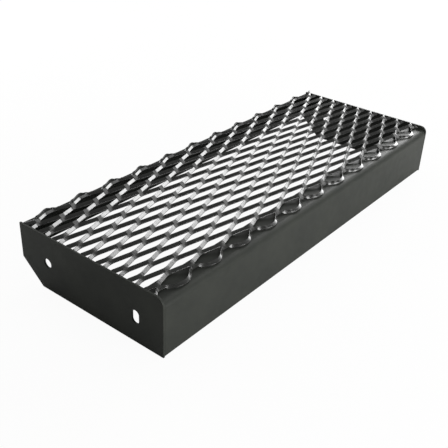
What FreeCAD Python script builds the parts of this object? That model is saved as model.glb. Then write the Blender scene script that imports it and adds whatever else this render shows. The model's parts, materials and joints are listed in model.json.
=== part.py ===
import FreeCAD, Part
import math
import os
import Sketcher

# Welded stair tread: two end plates, a folded front apron, a folded rear angle and a raised expanded mesh.
# Millimetres. X runs along the tread, the front is at -Y, Z is up, and z = 0 is the plates' bottom edge.

driving_sizes = {
    # Whole tread
    "tread_length": 700,
    "tread_depth": 260,
    "plate_height": 86,
    "plate_thick": 3,
    "sheet_thick": 3,
    "plate_proud": 6.5,
    # End plate outline and its two fixing holes
    "back_edge": 53,
    "chamfer_run": 38,
    "corner_radius": 12,
    "hole_dia": 14,
    "hole_in": 52.5,
    "hole_up": 43.5,
    "slot_width": 12,
    "slot_length": 20,
    "slot_in": 46,
    "slot_up": 38.5,
    # Folded sheets
    "apron_lift": 1.5,
    "nose_radius": 10,
    "front_flange": 39,
    "rear_drop": 2.8,
    "rear_height": 30,
    "rear_flange": 18,
    "rear_radius": 5,
    # Expanded mesh
    "long_pitch": 60.6,
    "short_pitch": 27.5,
    "strand_width": 5.5,
    "strand_thick": 3,
    "strand_tilt": 38,
    "bond_length": 6,
    "first_turn": 45,
    "front_setback": 1,
    "back_setback": 2.5,
    # Free edges of the mesh
    "front_reach": 9.5,
    "front_lean": 12,
    "front_flat": 2,
    "back_flat": 8,
    "back_rise": 1.5,
    "lip_height": 5.3,
    "lip_lean": 80,
    "lip_end": 2.9,
    "lip_run": 7.4,
}

worked_out = {
    "front_y": "-tread_depth / 2",
    "back_y": "tread_depth / 2",
    "chamfer_y": "back_y - chamfer_run",
    "chamfer_z": "plate_height - back_edge",
    "hole_y": "back_y - hole_in",
    "slot_y": "front_y + slot_in",
    "slot_left": "slot_y - slot_width / 2",
    "slot_right": "slot_y + slot_width / 2",
    "slot_low": "slot_up - (slot_length - slot_width) / 2",
    "slot_high": "slot_up + (slot_length - slot_width) / 2",
    "frame_top": "plate_height - plate_proud",
    "flange_under": "frame_top - sheet_thick",
    "apron_inner_y": "front_y + sheet_thick",
    "flange_back_y": "front_y + front_flange",
    "rear_inner_y": "back_y - sheet_thick",
    "rear_top": "plate_height - rear_drop",
    "rear_low": "rear_top - rear_height",
    "rear_fold": "rear_low + sheet_thick",
    "rear_front_y": "back_y - rear_flange",
    "clear_length": "tread_length - 2 * plate_thick",
    "left_end": "-tread_length / 2",
    "left_inside": "-clear_length / 2",
    "right_inside": "clear_length / 2",
}

doc = FreeCAD.newDocument("stair_tread")
sheet = doc.addObject("Spreadsheet::Sheet", "sizes")
cells = {alias: str(number) for alias, number in driving_sizes.items()}
cells.update({alias: "=" + formula for alias, formula in worked_out.items()})
for row, (alias, content) in enumerate(cells.items(), start=1):
    sheet.set("A%d" % row, alias)
    sheet.set("B%d" % row, content)
    sheet.setAlias("B%d" % row, alias)
doc.recompute()


def value(alias):
    return float(sheet.get(alias))


def plane(body, role):
    """One of the body's own origin planes."""
    for item in body.Origin.OriginFeatures:
        if item.Role == role:
            return item
    raise ValueError("no plane " + role)


def cross_section(body, name):
    """A sketch across the tread: its own x is the depth Y and its own y is the height Z."""
    sketch = body.newObject("Sketcher::SketchObject", name)
    sketch.AttachmentSupport = (plane(body, "YZ_Plane"), [""])
    sketch.MapMode = "FlatFace"
    return sketch


def tie(sketch, kind, geometry, point, alias):
    """Hold a point at a distance from the origin that follows the sheet."""
    index = sketch.addConstraint(Sketcher.Constraint(kind, -1, 1, geometry, point, value(alias)))
    label = "%s_%d" % (kind, index)
    sketch.renameConstraint(index, label)
    sketch.setExpression("Constraints." + label, "sizes." + alias)


def place(sketch, geometry, point, across, up):
    """Fix a point by the names of its two coordinates; None puts it on the ground line."""
    tie(sketch, "DistanceX", geometry, point, across)
    if up is None:
        sketch.addConstraint(Sketcher.Constraint("PointOnObject", geometry, point, -1))
    else:
        tie(sketch, "DistanceY", geometry, point, up)


def height(up):
    return 0.0 if up is None else value(up)


def closed_outline(sketch, corners):
    """Straight-sided outline through corners that are named on the sheet."""
    spots = [FreeCAD.Vector(value(across), height(up), 0) for across, up in corners]
    for k in range(len(spots)):
        sketch.addGeometry(Part.LineSegment(spots[k], spots[(k + 1) % len(spots)]), False)
    for k in range(len(spots)):
        sketch.addConstraint(Sketcher.Constraint("Coincident", k, 2, (k + 1) % len(spots), 1))
    for k, (across, up) in enumerate(corners):
        place(sketch, k, 1, across, up)


def long_edge(shape, across, up):
    """Name of the edge that runs along the tread through one corner of the cross-section."""
    for k, edge in enumerate(shape.Edges, start=1):
        ends = [v.Point for v in edge.Vertexes]
        if all(abs(p.y - across) < 1e-4 and abs(p.z - up) < 1e-4 for p in ends):
            return "Edge%d" % k
    raise ValueError("no edge at this corner")


def round_edge(body, name, base, across, up, radius):
    """Round one long edge; the radius is an expression on the sheet."""
    fillet = body.newObject("PartDesign::Fillet", name)
    fillet.Base = (base, [long_edge(base.Shape, value(across), value(up))])
    fillet.setExpression("Radius", radius)
    doc.recompute()
    return fillet


def extruded(name, corners, length, start):
    """Body with one outline padded along the tread."""
    body = doc.addObject("PartDesign::Body", name)
    body.Label = name
    sketch = cross_section(body, name + "_outline")
    closed_outline(sketch, corners)
    pad = body.newObject("PartDesign::Pad", name + "_pad")
    pad.Profile = sketch
    pad.setExpression("Length", "sizes." + length)
    sketch.Visibility = False
    doc.recompute()
    body.setExpression("Placement.Base.x", "sizes." + start)
    doc.recompute()
    return body, pad


def end_plate(name, start):
    """Flat plate: back corner cut off at the bottom, front corner rounded at the top, hole and slot."""
    corners = [
        ("front_y", None),
        ("chamfer_y", None),
        ("back_y", "chamfer_z"),
        ("back_y", "plate_height"),
        ("front_y", "plate_height"),
    ]
    body, pad = extruded(name, corners, "plate_thick", start)
    rounded = round_edge(body, name + "_corner", pad, "front_y", "plate_height", "sizes.corner_radius")

    holes = cross_section(body, name + "_holes")
    centre = FreeCAD.Vector(value("hole_y"), value("hole_up"), 0)
    axis = FreeCAD.Vector(0, 0, 1)
    circle = holes.addGeometry(Part.Circle(centre, axis, value("hole_dia") / 2), False)
    place(holes, circle, 3, "hole_y", "hole_up")
    width = holes.addConstraint(Sketcher.Constraint("Diameter", circle, value("hole_dia")))
    holes.renameConstraint(width, "hole_width")
    holes.setExpression("Constraints.hole_width", "sizes.hole_dia")

    left, right = value("slot_left"), value("slot_right")
    low, high = value("slot_low"), value("slot_high")
    middle = FreeCAD.Vector(value("slot_y"), 0, 0)
    half = value("slot_width") / 2
    top_circle = Part.Circle(middle + FreeCAD.Vector(0, high, 0), axis, half)
    low_circle = Part.Circle(middle + FreeCAD.Vector(0, low, 0), axis, half)
    top = holes.addGeometry(Part.ArcOfCircle(top_circle, 0, math.pi), False)
    bottom = holes.addGeometry(Part.ArcOfCircle(low_circle, math.pi, 2 * math.pi), False)
    side_left = Part.LineSegment(FreeCAD.Vector(left, high, 0), FreeCAD.Vector(left, low, 0))
    side_right = Part.LineSegment(FreeCAD.Vector(right, low, 0), FreeCAD.Vector(right, high, 0))
    first = holes.addGeometry(side_left, False)
    second = holes.addGeometry(side_right, False)
    for end, side in ((1, second), (2, first)):
        joined = 2 if side == second else 1
        holes.addConstraint(Sketcher.Constraint("Coincident", top, end, side, joined))
    for end, side in ((1, first), (2, second)):
        joined = 2 if side == first else 1
        holes.addConstraint(Sketcher.Constraint("Coincident", bottom, end, side, joined))
    place(holes, first, 1, "slot_left", "slot_high")
    place(holes, first, 2, "slot_left", "slot_low")
    place(holes, second, 1, "slot_right", "slot_low")
    place(holes, second, 2, "slot_right", "slot_high")
    tie(holes, "DistanceY", top, 3, "slot_high")
    tie(holes, "DistanceY", bottom, 3, "slot_low")

    cut = body.newObject("PartDesign::Pocket", name + "_cut")
    cut.Profile = holes
    cut.Type = "ThroughAll"
    cut.Reversed = True
    holes.Visibility = False
    doc.recompute()
    if cut.Shape.Volume > rounded.Shape.Volume - 1:
        raise ValueError("the holes did not cut " + name)
    return body


def folded(name, corners, bend, radius):
    """Folded sheet between the plates: the outside and inside of its bend are concentric."""
    body, pad = extruded(name, corners, "clear_length", "left_inside")
    outer = round_edge(body, name + "_bend", pad, bend[0][0], bend[0][1], radius)
    inside = radius + " - sizes.sheet_thick"
    round_edge(body, name + "_inside", outer, bend[1][0], bend[1][1], inside)
    return body


plates = [
    end_plate("end_plate_left", "left_end"),
    end_plate("end_plate_right", "right_inside"),
]

# Front apron: tall face, rounded nose, flange that carries the mesh
apron = folded(
    "front_apron",
    [
        ("front_y", "apron_lift"),
        ("apron_inner_y", "apron_lift"),
        ("apron_inner_y", "flange_under"),
        ("flange_back_y", "flange_under"),
        ("flange_back_y", "frame_top"),
        ("front_y", "frame_top"),
    ],
    [("front_y", "frame_top"), ("apron_inner_y", "flange_under")],
    "sizes.nose_radius",
)

# Rear angle: upright back face that the mesh's last turns rest on, flange towards the front at its foot
rear = folded(
    "rear_angle",
    [
        ("back_y", "rear_low"),
        ("back_y", "rear_top"),
        ("rear_inner_y", "rear_top"),
        ("rear_inner_y", "rear_fold"),
        ("rear_front_y", "rear_fold"),
        ("rear_front_y", "rear_low"),
    ],
    [("back_y", "rear_low"), ("rear_inner_y", "rear_fold")],
    "sizes.rear_radius",
)

# Raised expanded mesh. A slit sheet is pulled open, so each strand weaves between two rows of bonds and
# every strand keeps the same tilt: its width leans back and up. Neighbours share half a bond each.
width = value("strand_width")
thick = value("strand_thick")
tilt = value("strand_tilt")
pitch = value("long_pitch")
left_end = value("left_inside")
right_end = value("right_inside")


def leaning(degrees):
    """Direction of a strand's width, and the one square to its upper face."""
    angle = math.radians(degrees)
    along_width = FreeCAD.Vector(0, math.cos(angle), math.sin(angle))
    off_face = FreeCAD.Vector(0, -math.sin(angle), math.cos(angle))
    return along_width, off_face


def lowest(degrees):
    """How far the lowest corner of a leaning strand lies under its middle."""
    along_width, off_face = leaning(degrees)
    return along_width.z * width / 2 + off_face.z * thick / 2


across, normal = leaning(tilt)
front_row = value("front_y") + value("nose_radius") + value("front_setback")
back_row = value("back_y") - value("back_setback")
strand_count = max(2, round((back_row - front_row) / (value("short_pitch") / 2)))
row_step = (back_row - front_row) / strand_count
bond_z = value("frame_top") + lowest(tilt) + across.z * width / 2

# The back strand is wider than the others and the rest of its width is turned up. The lip is tall from each
# front turn to the back turn on its right, then runs out, and only the corner of the fold is left.
fold = thick * math.tan(math.radians(value("lip_lean") - tilt) / 2)
lip_runout = fold + 0.3


def bond_row(k):
    return FreeCAD.Vector(0, front_row + k * row_step, bond_z)


def ring(x, middle, lean, lip):
    """Corners of a strand's section in order round it, starting with the lower front one."""
    along_width, off_face = leaning(lean)
    edge = along_width * (width / 2)
    face = off_face * (thick / 2)
    corners = [middle - edge - face, middle + edge - face, middle + edge + face, middle - edge + face]
    if lip:
        up, inward = leaning(value("lip_lean"))
        top = corners[1] + up * lip
        corners[2:3] = [top, top + inward * thick, corners[2] - along_width * fold]
    for corner in corners:
        corner.x = x
    return corners


def turns(k):
    """A strand's front turn and back turn: middle, lean, half the flat length, lip at its two ends."""
    half_bond = value("bond_length") / 2
    front = [bond_row(k) + across * (width / 2), tilt, half_bond, (0, 0)]
    back = [bond_row(k + 1) - across * (width / 2), tilt, half_bond, (0, 0)]
    if k == 0:
        # The free front strand lies flatter, over the nose
        lean = value("front_lean")
        middle_y = value("front_y") + value("front_reach")
        middle_z = value("frame_top") + lowest(lean)
        front = [FreeCAD.Vector(0, middle_y, middle_z), lean, value("front_flat") / 2, (0, 0)]
    if k == strand_count - 1:
        back[0].z += value("back_rise")
        back[2] = value("back_flat") / 2
        front[3] = (lip_runout, value("lip_height"))
        back[3] = (value("lip_height"), value("lip_end"))
    return front, back


def rings(k):
    """Sections along one strand, each with the kind of the stretch that follows it."""
    front, back = turns(k)
    start = left_end + value("first_turn") + (k % 2) * pitch / 2
    x = start - (math.ceil((start - left_end) / pitch) + 1) * pitch
    made = []
    while x < right_end + pitch:
        for (spot, lean, flat, lips), at, kind in ((front, x, "front"), (back, x + pitch / 2, "back")):
            made.append((ring(at - flat, spot, lean, lips[0]), kind))
            made.append((ring(at + flat, spot, lean, lips[1]), "arm"))
        if k == strand_count - 1:
            # Section on the next arm where the lip has run out
            share = value("lip_run") / (pitch / 2 - back[2] - front[2])
            spot = back[0] + (front[0] - back[0]) * share
            made.append((ring(x + pitch / 2 + back[2] + value("lip_run"), spot, tilt, lip_runout), "arm"))
        x += pitch
    return made


def cut_at(first, last, x):
    """Section where a stretch crosses the plane of an end plate's inner face."""
    share = (x - first[0].x) / (last[0].x - first[0].x)
    return [p + (q - p) * share for p, q in zip(first, last)]


def stretches(k):
    """Pairs of neighbouring sections, cut off flush with the inner faces of both end plates."""
    kept = []
    made = rings(k)
    for (first, kind), (last, _) in zip(made, made[1:]):
        if last[0].x < left_end + 1e-3 or first[0].x > right_end - 1e-3:
            continue
        begin = cut_at(first, last, left_end) if first[0].x < left_end else first
        end = cut_at(first, last, right_end) if last[0].x > right_end else last
        kept.append((begin, end, kind))
    return kept


def flat_face(corners):
    return Part.Face(Part.makePolygon(corners + corners[:1]))


def strand_faces(k):
    """Outside faces of one strand; a bond shared with a neighbour has no face in the middle."""
    faces = []
    kept = stretches(k)
    for a, b, kind in kept:
        sides = len(a)
        for side in range(sides):
            shared_back = side == 1 and kind == "back" and k < strand_count - 1
            shared_front = side == sides - 1 and kind == "front" and k > 0
            if shared_back or shared_front:
                continue
            following = (side + 1) % sides
            if k == 0 and kind == "arm":
                # The arms of the front strand twist, so their sides are split into triangles
                faces.append(flat_face([a[side], a[following], b[following]]))
                faces.append(flat_face([a[side], b[following], b[side]]))
            else:
                faces.append(flat_face([a[side], a[following], b[following], b[side]]))
    faces.append(flat_face(kept[0][0][::-1]))
    faces.append(flat_face(kept[-1][1]))
    return faces


mesh_faces = []
for k in range(strand_count):
    mesh_faces += strand_faces(k)
mesh_solid = Part.makeSolid(Part.makeShell(mesh_faces))
if mesh_solid.Volume < 0:
    mesh_solid.reverse()
mesh = doc.addObject("Part::Feature", "expanded_mesh")
mesh.Label = "expanded_mesh"
mesh.Shape = mesh_solid
doc.recompute()

for item in doc.Objects:
    if "Invalid" in item.State or "Error" in item.State:
        raise ValueError("not built: " + item.Name)

os.makedirs("parts", exist_ok=True)
for node in plates + [apron, rear, mesh]:
    if node.Shape.isNull() or not node.Shape.isValid():
        raise ValueError("bad shape: " + node.Label)
    if len(node.Shape.Solids) != 1:
        raise ValueError("not one solid: " + node.Label)
    node.Shape.exportStep("parts/%s.step" % node.Label)
    box = node.Shape.BoundBox
    print(node.Label, round(node.Shape.Volume), [round(v, 2) for v in (box.XLength, box.YLength, box.ZLength)])
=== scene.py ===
# %% [markdown]
# # A welded steel stair tread
#
# The tread is a frame of two end plates, a folded front apron and a folded rear angle. A sheet of raised
# expanded metal is welded on top of it as the walking surface, and the whole thing is painted black.
# The shapes come from the CAD model. This script rounds their edges, gives them paint, and sets up a studio.

# %% Load the CAD frame
import json
import math

import bmesh
import bpy
from mathutils import Matrix, Vector
from mathutils.kdtree import KDTree

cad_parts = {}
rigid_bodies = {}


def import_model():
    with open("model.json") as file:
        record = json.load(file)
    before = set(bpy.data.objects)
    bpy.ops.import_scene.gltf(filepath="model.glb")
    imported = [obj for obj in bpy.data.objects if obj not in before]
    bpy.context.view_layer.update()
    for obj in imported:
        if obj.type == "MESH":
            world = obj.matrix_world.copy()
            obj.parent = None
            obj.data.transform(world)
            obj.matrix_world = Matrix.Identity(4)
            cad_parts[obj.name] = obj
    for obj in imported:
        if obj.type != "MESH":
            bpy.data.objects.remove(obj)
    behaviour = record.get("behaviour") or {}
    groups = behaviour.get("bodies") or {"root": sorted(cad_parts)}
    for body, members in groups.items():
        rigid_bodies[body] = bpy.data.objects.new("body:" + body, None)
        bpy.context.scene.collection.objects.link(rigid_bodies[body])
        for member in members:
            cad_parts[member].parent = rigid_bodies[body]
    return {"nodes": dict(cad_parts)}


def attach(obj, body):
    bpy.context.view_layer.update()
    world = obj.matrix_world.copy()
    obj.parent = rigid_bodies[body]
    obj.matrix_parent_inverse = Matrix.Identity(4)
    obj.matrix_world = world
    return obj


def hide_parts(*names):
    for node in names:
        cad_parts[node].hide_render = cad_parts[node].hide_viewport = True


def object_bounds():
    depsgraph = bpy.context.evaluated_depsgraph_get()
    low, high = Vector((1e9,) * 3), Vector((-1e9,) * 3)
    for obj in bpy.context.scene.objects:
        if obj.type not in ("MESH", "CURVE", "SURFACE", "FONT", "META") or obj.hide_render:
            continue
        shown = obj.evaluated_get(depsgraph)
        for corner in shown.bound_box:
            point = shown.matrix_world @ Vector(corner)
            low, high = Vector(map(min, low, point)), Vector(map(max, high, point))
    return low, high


for leftover in list(bpy.data.objects):
    bpy.data.objects.remove(leftover)
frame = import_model()
cad_low, cad_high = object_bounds()
MM = 0.001
print("CAD nodes:", sorted(frame["nodes"]))

# %% [markdown]
# ## Small helpers
#
# Colours are written as the hex values that a picture editor shows, so one function turns them into the
# linear numbers that a shader works with. Another adds a node to a tree, sets it and links it.

# %% Colour and node helpers
def linear(hex_colour):
    """An sRGB hex colour as linear red, green, blue and alpha."""
    channels = [int(hex_colour[k:k + 2], 16) / 255 for k in (1, 3, 5)]
    return [c / 12.92 if c <= 0.04045 else ((c + 0.055) / 1.055) ** 2.4 for c in channels] + [1.0]


def add(tree, kind, settings=None, values=None, links=None):
    """Add one node; values and links are keyed by the name or number of an input."""
    node = tree.nodes.new(kind)
    for name, setting in (settings or {}).items():
        setattr(node, name, setting)
    for name, number in (values or {}).items():
        node.inputs[name].default_value = number
    for name, output in (links or {}).items():
        tree.links.new(output, node.inputs[name])
    return node


print("white paper in linear light:", [round(c, 4) for c in linear("#e6e6e4")[:3]])

# %% [markdown]
# ## Black enamel on steel
#
# The paint is taken to be sprayed black enamel, smooth but not like a mirror. Up close it has orange peel, the
# shallow dimples that a sprayed film keeps as it dries, about 2 mm across. The gloss varies a little over the
# sheet, and so does the black, where the film is thinner. The strands look glossier than the broad sheets, so
# they get their own version of the paint. The broad sheets' version is also painted a lighter black than the
# strands'. That is painted light, standing in for the light that falls on the apron and the end plates.

# %% Paint material
film_mm, gloss_mm, dimple_mm = 38, 14, 2.2
dimple_depth = 0.05 * MM


def per_mm(size_mm):
    """Texture scale at which one feature is about this many millimetres."""
    return 1.0 / (size_mm * MM)


def enamel(name, base, thin, rough_low, rough_high, peel, shine):
    """Sprayed enamel: a soft sheen, uneven in colour, gloss and dimples by noise on Object coordinates."""
    material = bpy.data.materials.new(name)
    material.use_nodes = True
    tree = material.node_tree
    shader = tree.nodes["Principled BSDF"]
    where = add(tree, "ShaderNodeTexCoord").outputs["Object"]
    film = add(tree, "ShaderNodeTexNoise", links={"Vector": where},
               values={"Scale": per_mm(film_mm), "Detail": 4, "Roughness": 0.55})
    tint = add(tree, "ShaderNodeValToRGB", links={"Fac": film.outputs["Fac"]})
    for stop, position, colour in zip(tint.color_ramp.elements, (0.35, 0.75), (base, thin)):
        stop.position = position
        stop.color = linear(colour)
    gloss = add(tree, "ShaderNodeTexNoise", links={"Vector": where},
                values={"Scale": per_mm(gloss_mm), "Detail": 3})
    rough = add(tree, "ShaderNodeMapRange", links={"Value": gloss.outputs["Fac"]},
                values={"From Min": 0.3, "From Max": 0.7, "To Min": rough_low, "To Max": rough_high})
    dimples = add(tree, "ShaderNodeTexNoise", links={"Vector": where},
                  values={"Scale": per_mm(dimple_mm), "Detail": 1})
    bump = add(tree, "ShaderNodeBump", links={"Height": dimples.outputs["Fac"]},
               values={"Strength": peel, "Distance": dimple_depth})
    tree.links.new(tint.outputs["Color"], shader.inputs["Base Color"])
    tree.links.new(rough.outputs["Result"], shader.inputs["Roughness"])
    tree.links.new(bump.outputs["Normal"], shader.inputs["Normal"])
    shader.inputs["IOR"].default_value = 1.5
    shader.inputs["Specular IOR Level"].default_value = shine
    return material


# Painted light: the plates' copy of the one black enamel gets a lighter black than the strands' copy, for the
# light on the apron and end plates
plate_enamel_painted_lighter = enamel("black_enamel_plate_painted_lighter", base="#2d2f2c", thin="#333531",
                      rough_low=0.38, rough_high=0.45, peel=0.06, shine=0.11)
strand_enamel = enamel("black_enamel_strands", base="#1a1b19", thin="#232422",
                       rough_low=0.2, rough_high=0.28, peel=0.06, shine=0.5)
print("materials:", [m.name for m in bpy.data.materials])

# %% [markdown]
# ## Rounded edges
#
# A cut or folded sheet never has a perfectly sharp edge, and paint rounds it further. The thin bright line that
# such an edge gives is what makes metal look like metal. A CAD node is made of loose triangles, so each one is
# copied, its doubles are merged, flat neighbours are dissolved into whole faces, and its sharp edges are
# bevelled.

# %% From a CAD node to a painted piece
def merged_copy(node_name):
    """The CAD node's shape as clean faces in a new bmesh."""
    bm = bmesh.new()
    bm.from_mesh(frame["nodes"][node_name].data)
    bmesh.ops.remove_doubles(bm, verts=bm.verts[:], dist=0.002 * MM)
    bmesh.ops.dissolve_limit(bm, angle_limit=math.radians(0.6), verts=bm.verts[:], edges=bm.edges[:])
    return bm


def round_edges(bm, sharper_than, radius, limited):
    """Bevel the edges that turn by more than some degrees; a limited bevel stops where it would overlap."""
    sharp = [e for e in bm.edges if len(e.link_faces) == 2 and e.calc_face_angle() > math.radians(sharper_than)]
    bmesh.ops.bevel(bm, geom=sharp, offset=radius, offset_type="OFFSET", affect="EDGES", segments=2,
                    profile=0.5, material=-1, clamp_overlap=limited)


def finish_piece(bm, name, material, node_name, smooth_degrees):
    """Turn the bmesh into the object that stands for the CAD node."""
    mesh = bpy.data.meshes.new(name)
    bm.to_mesh(mesh)
    bm.free()
    # Normals stored for the CAD triangles no longer fit the bevelled faces
    for layer in ("custom_normal", "sharp_edge", "sharp_face"):
        if layer in mesh.attributes:
            mesh.attributes.remove(mesh.attributes[layer])
    mesh.materials.clear()
    mesh.materials.append(material)
    for face in mesh.polygons:
        face.use_smooth = True
        face.material_index = 0
    mesh.set_sharp_from_angle(angle=math.radians(smooth_degrees))
    piece = bpy.data.objects.new(name, mesh)
    bpy.context.scene.collection.objects.link(piece)
    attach(piece, "root")
    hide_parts(node_name)
    mesh.calc_loop_triangles()
    print(name, "triangles:", len(mesh.loop_triangles))
    return piece


# %% Plates and folded sheets
sheet_edge_radius = 0.5 * MM
for node_name in ("end_plate_left", "end_plate_right", "front_apron", "rear_angle"):
    sheet_bm = merged_copy(node_name)
    round_edges(sheet_bm, sharper_than=40, radius=sheet_edge_radius, limited=True)
    piece = finish_piece(sheet_bm, "painted_" + node_name, plate_enamel_painted_lighter, node_name, smooth_degrees=50)
    # Broad faces keep their own normals, so that only the rounded edges shade round
    piece.modifiers.new("level_normals", "WEIGHTED_NORMAL").keep_sharp = True

# %% [markdown]
# ## The expanded mesh
#
# A press slits a flat sheet and pulls it open in one stroke. Each strand runs from bond to bond, and between two
# bonds its arm stays nearly straight. Along the front and back edges the outermost strands have free turns that
# nothing holds, so there they swing round in loops. In the CAD model every arm is straight. Here each long edge
# of an arm is cut into short lengths and the new points are eased: a little at a bond, a lot at a free turn.

# %% Whole faces on the strands
def triangles_of(bm):
    return [f for f in bm.faces if len(f.verts) == 3]


mesh_bm = merged_copy("expanded_mesh")
twisted = triangles_of(mesh_bm)
bmesh.ops.join_triangles(mesh_bm, faces=twisted, angle_face_threshold=math.radians(60),
                         angle_shape_threshold=math.pi)
print("twisted triangles:", len(twisted), "left:", len(triangles_of(mesh_bm)))

# %% Cut the arms into short lengths
arm_cuts = 8
shortest_arm, least_slant = 3 * MM, 0.5 * MM
arm_edges = []
for edge in mesh_bm.edges:
    run = edge.verts[1].co - edge.verts[0].co
    if abs(run.x) > shortest_arm and math.hypot(run.y, run.z) > least_slant:
        arm_edges.append(edge)
print("long arm edges:", len(arm_edges), "of", len(mesh_bm.edges))
arm_ends = [sorted((v.co.copy() for v in edge.verts), key=lambda p: p.x) for edge in arm_edges]
made = bmesh.ops.subdivide_edges(mesh_bm, edges=arm_edges, cuts=arm_cuts, use_grid_fill=True)
new_points = [v for v in made["geom_inner"] if isinstance(v, bmesh.types.BMVert)]

# %% Ease the new points
front_turns_y, back_turns_y = cad_low[1] + 20 * MM, cad_high[1] - 12 * MM
front_easing, back_easing, bond_easing = 0.55, 0.3, 0.03
same_point = 0.01 * MM


def easing_at(end):
    """The share of an arm that is rounded off at this end."""
    if end.y < front_turns_y:
        return front_easing
    return back_easing if end.y > back_turns_y else bond_easing


def eased(share, start, end):
    """Straight line from 0 to 1 whose first and last shares, start and end, are rounded off."""
    slope = 1 / (1 - (start + end) / 2)
    if share < start:
        return slope * share * share / (2 * start)
    if share > 1 - end:
        return 1 - slope * (1 - share) ** 2 / (2 * end)
    return slope * (share - start / 2)


goals = []
for a, b in arm_ends:
    for k in range(1, arm_cuts + 1):
        share = k / (arm_cuts + 1)
        goals.append((a.lerp(b, share), a.lerp(b, eased(share, easing_at(a), easing_at(b)))))
finder = KDTree(len(goals))
for k, (before, _) in enumerate(goals):
    finder.insert(before, k)
finder.balance()
moved = 0
for point in new_points:
    _, nearest, distance = finder.find(point.co)
    if distance < same_point:
        point.co.yz = goals[nearest][1].yz
        moved += 1
print("new points on the arms:", len(new_points), "eased:", moved)

# %% Round the strands' edges
# Edges shorter than the rounding would make it fold over, so they go first. Slivers go afterwards, and plain
# triangles leave no doubt how a bent face is divided.
strand_edge_radius, shortest_edge, sliver = 0.4 * MM, 0.35 * MM, 0.1 * MM
bmesh.ops.dissolve_degenerate(mesh_bm, dist=shortest_edge, edges=mesh_bm.edges[:])
round_edges(mesh_bm, sharper_than=50, radius=strand_edge_radius, limited=False)
bmesh.ops.dissolve_degenerate(mesh_bm, dist=sliver, edges=mesh_bm.edges[:])
bmesh.ops.triangulate(mesh_bm, faces=mesh_bm.faces[:])
finish_piece(mesh_bm, "painted_mesh", strand_enamel, "expanded_mesh", smooth_degrees=15)

# %% [markdown]
# ## Studio
#
# The floor is plain and pale. The camera sees it as white paper with a faint shadow, while the paint reflects
# the floor nearly as it is lit. Two soft boxes stand far to the right, one above the other. The arms that lean
# that way mirror them, which is what makes the strands glint. A narrow strip higher up lights the bonds, and two
# weaker lamps fill the upright faces from the front and the back.

# %% Floor
WHITE = (1, 1, 1, 1)
camera_white, glossy_white = 0.95, 0.05
floor_bm = bmesh.new()
bmesh.ops.create_grid(floor_bm, x_segments=1, y_segments=1, size=12)
floor_mesh = bpy.data.meshes.new("floor")
floor_bm.to_mesh(floor_mesh)
floor_bm.free()
floor = bpy.data.objects.new("floor", floor_mesh)
bpy.context.scene.collection.objects.link(floor)
paper = bpy.data.materials.new("white_paper")
paper.use_nodes = True
tree = paper.node_tree
tree.nodes.clear()
sheet = add(tree, "ShaderNodeBsdfDiffuse", values={"Color": linear("#e6e6e4")})
white = add(tree, "ShaderNodeEmission", values={"Color": WHITE, "Strength": 1.0})
path = add(tree, "ShaderNodeLightPath")
seen = add(tree, "ShaderNodeMath", {"operation": "MULTIPLY"}, {1: camera_white},
           {0: path.outputs["Is Camera Ray"]})
share_white = add(tree, "ShaderNodeMath", {"operation": "MULTIPLY_ADD"}, {1: glossy_white},
                  {0: path.outputs["Is Glossy Ray"], 2: seen.outputs["Value"]})
mixed = add(tree, "ShaderNodeMixShader", links={0: share_white.outputs["Value"], 1: sheet.outputs["BSDF"],
                                                2: white.outputs["Emission"]})
add(tree, "ShaderNodeOutputMaterial", links={"Surface": mixed.outputs["Shader"]})
floor_mesh.materials.append(paper)
print("floor is", camera_white, "white to the camera")

# %% World
room_level, white_level, glossy_share = 0.3, 1.0, 0.1
world = bpy.data.worlds.new("studio")
bpy.context.scene.world = world
world.use_nodes = True
tree = world.node_tree
tree.nodes.clear()
path = add(tree, "ShaderNodeLightPath")
direct = add(tree, "ShaderNodeMath", {"operation": "MAXIMUM"},
             links={0: path.outputs["Is Camera Ray"], 1: path.outputs["Is Transmission Ray"]})
seen = add(tree, "ShaderNodeMath", {"operation": "MULTIPLY_ADD"}, {1: glossy_share},
           {0: path.outputs["Is Glossy Ray"], 2: direct.outputs["Value"]})
level = add(tree, "ShaderNodeMapRange", links={"Value": seen.outputs["Value"]},
            values={"From Min": 0, "From Max": 1, "To Min": room_level, "To Max": white_level})
sky = add(tree, "ShaderNodeBackground", values={"Color": WHITE}, links={"Strength": level.outputs["Result"]})
add(tree, "ShaderNodeOutputWorld", links={"Surface": sky.outputs["Background"]})
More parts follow.
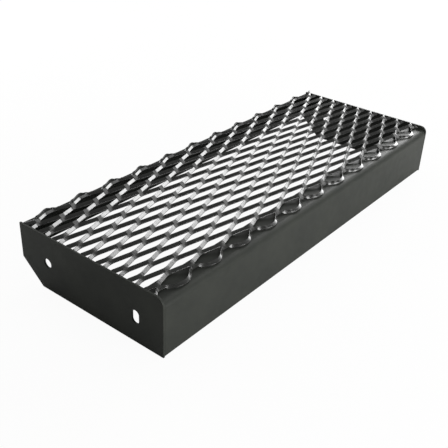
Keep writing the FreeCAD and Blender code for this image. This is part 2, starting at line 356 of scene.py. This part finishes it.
print("world lights the tread at", room_level, "and is white to the camera")

# %% Lamps
def soft_lamp(name, place, aim, wide, tall, watts):
    """A rectangular soft box that shines towards a point."""
    data = bpy.data.lights.new(name, "AREA")
    data.shape = "RECTANGLE"
    data.size = wide
    data.size_y = tall
    data.energy = watts
    lamp = bpy.data.objects.new(name, data)
    lamp.location = place
    lamp.rotation_mode = "QUATERNION"
    lamp.rotation_quaternion = (Vector(aim) - Vector(place)).to_track_quat("-Z", "Y")
    lamp.visible_camera = False
    bpy.context.scene.collection.objects.link(lamp)


tread_middle = (0, 0, 0.05)
soft_lamp("right_box", place=(2.7, 0.45, 0.4), aim=(0, 0.2, 0.4), wide=1.6, tall=0.8, watts=24)
soft_lamp("upper_box", place=(2.7, 0.5, 1.3), aim=(0, 0.2, 1.3), wide=1.4, tall=1.0, watts=52)
soft_lamp("key_strip", place=(1.3, -0.65, 1.4), aim=tread_middle, wide=0.55, tall=1.7, watts=9)
soft_lamp("front_fill", place=(0.0, -1.75, 0.45), aim=tread_middle, wide=0.8, tall=0.7, watts=29)
soft_lamp("back_fill", place=(0.1, 1.8, 0.8), aim=tread_middle, wide=0.8, tall=0.8, watts=16)

# %% [markdown]
# ## Camera
#
# The camera stands to the left of the tread and in front of it, a good metre away, and looks down along its
# length. Its place and turn were found by matching the corners of the tread.

# %% Camera
camera_place = Vector((-0.8256, -0.5750, 0.5715))
right = Vector((0.62475, -0.77983, 0.03948))
down = Vector((-0.37468, -0.34377, -0.86107))
ahead = Vector((0.68506, 0.52315, -0.50696))
camera_data = bpy.data.cameras.new("camera")
camera_data.sensor_width = 36
camera_data.lens = 56.98
camera = bpy.data.objects.new("camera", camera_data)
turn = Matrix((right, -down, -ahead)).transposed()
camera.matrix_world = Matrix.Translation(camera_place) @ turn.to_4x4()
bpy.context.scene.collection.objects.link(camera)
bpy.context.scene.camera = camera
bpy.context.scene.view_settings.view_transform = "Standard"
print("camera is", round(camera_place.length, 3), "m from the floor under the middle of the tread")
